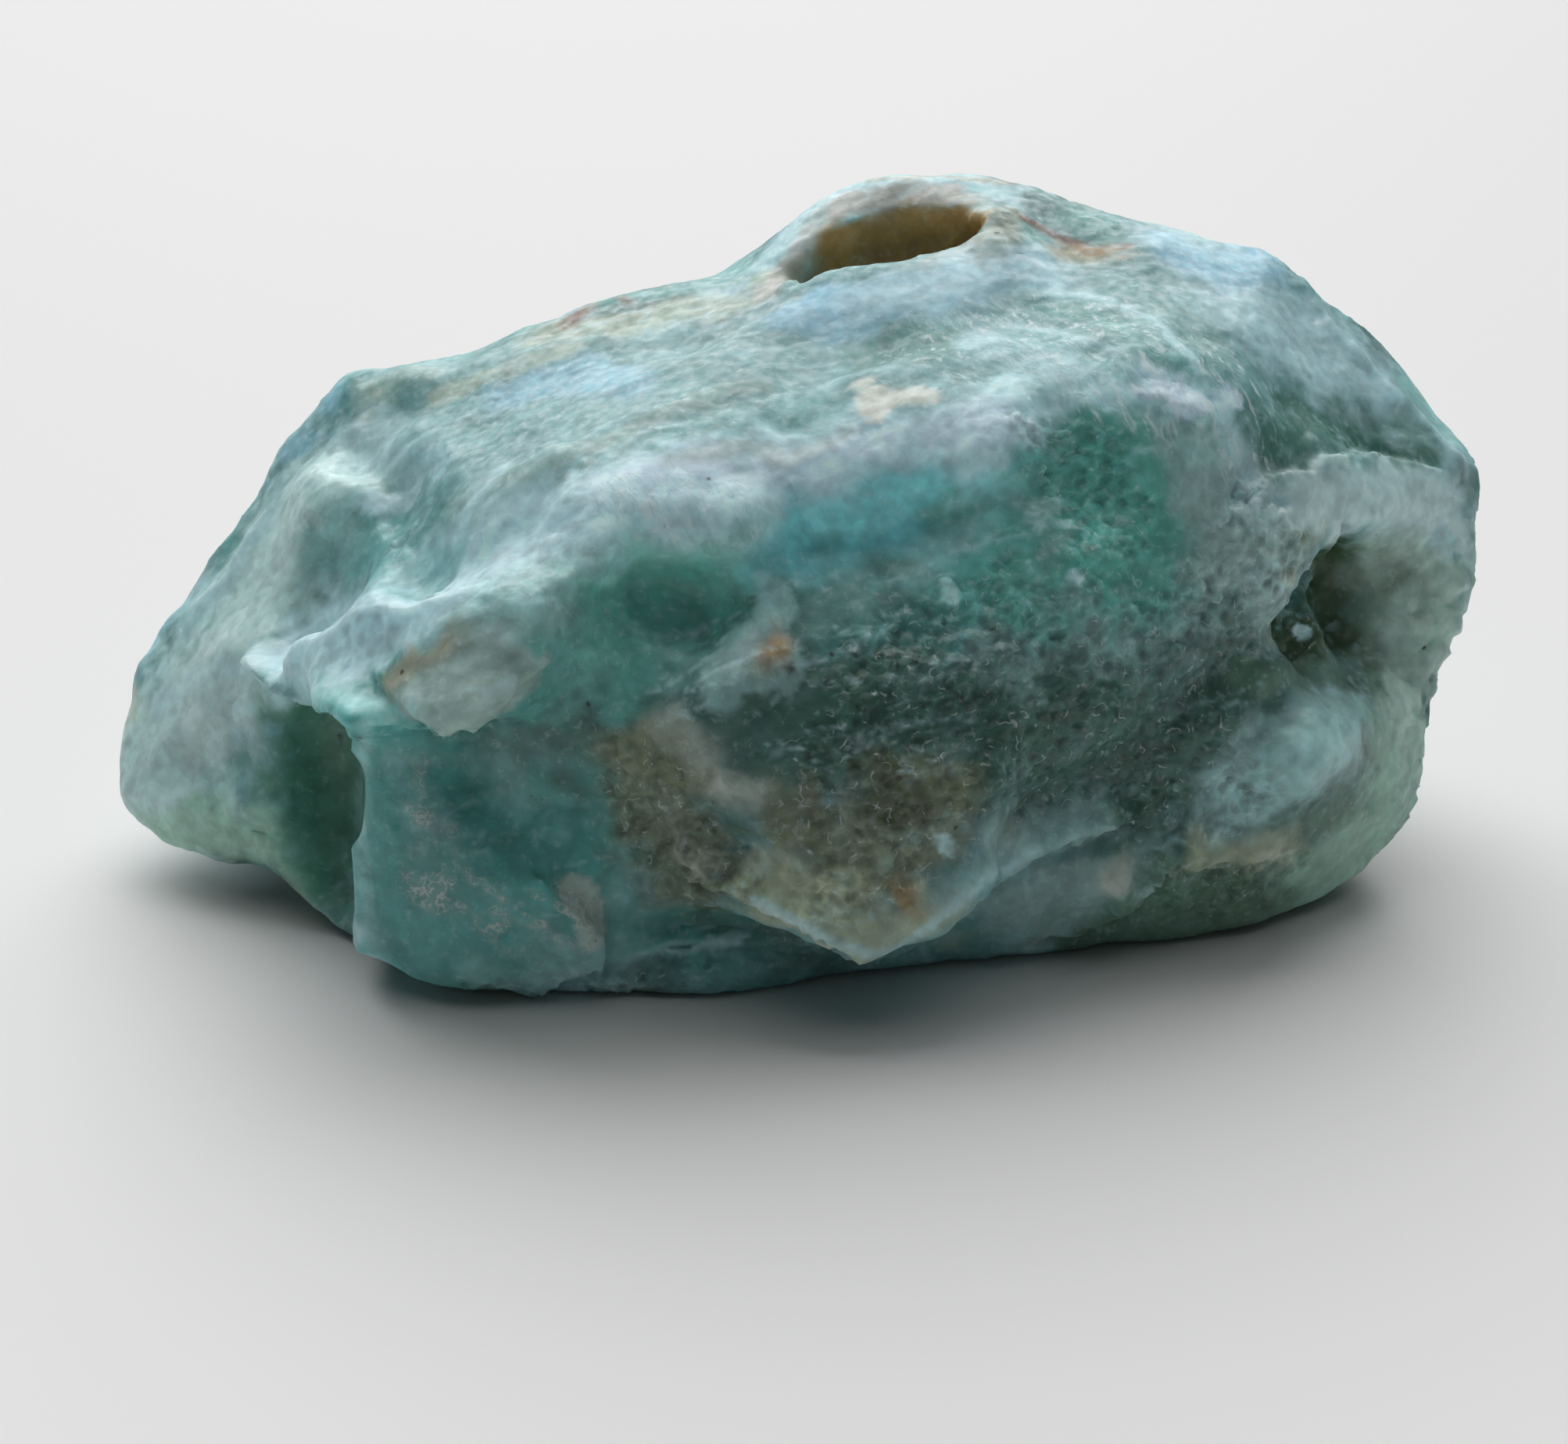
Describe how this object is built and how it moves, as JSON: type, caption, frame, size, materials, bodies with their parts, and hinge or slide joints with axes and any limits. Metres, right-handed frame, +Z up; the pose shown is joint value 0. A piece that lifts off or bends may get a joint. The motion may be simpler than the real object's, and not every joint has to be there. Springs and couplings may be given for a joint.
{
  "type": "raw aragonite stone",
  "caption": "Rough broken chunk of blue-green aragonite with a small crater in its top, lying on a flat underside.",
  "frame": {"origin": "middle of the stone's footprint box, at the height of the flat it rests on", "axes": "+X along the stone's length, from its thin end to its blunt end; -Y out of its steep broken face; +Z up"},
  "size_m": [0.0624, 0.0378, 0.0303],
  "materials": {
    "blue_green_aragonite": "rough"
  },
  "bodies": {
    "root": {"aragonite": "blue_green_aragonite"}
  },
  "joints": []
}
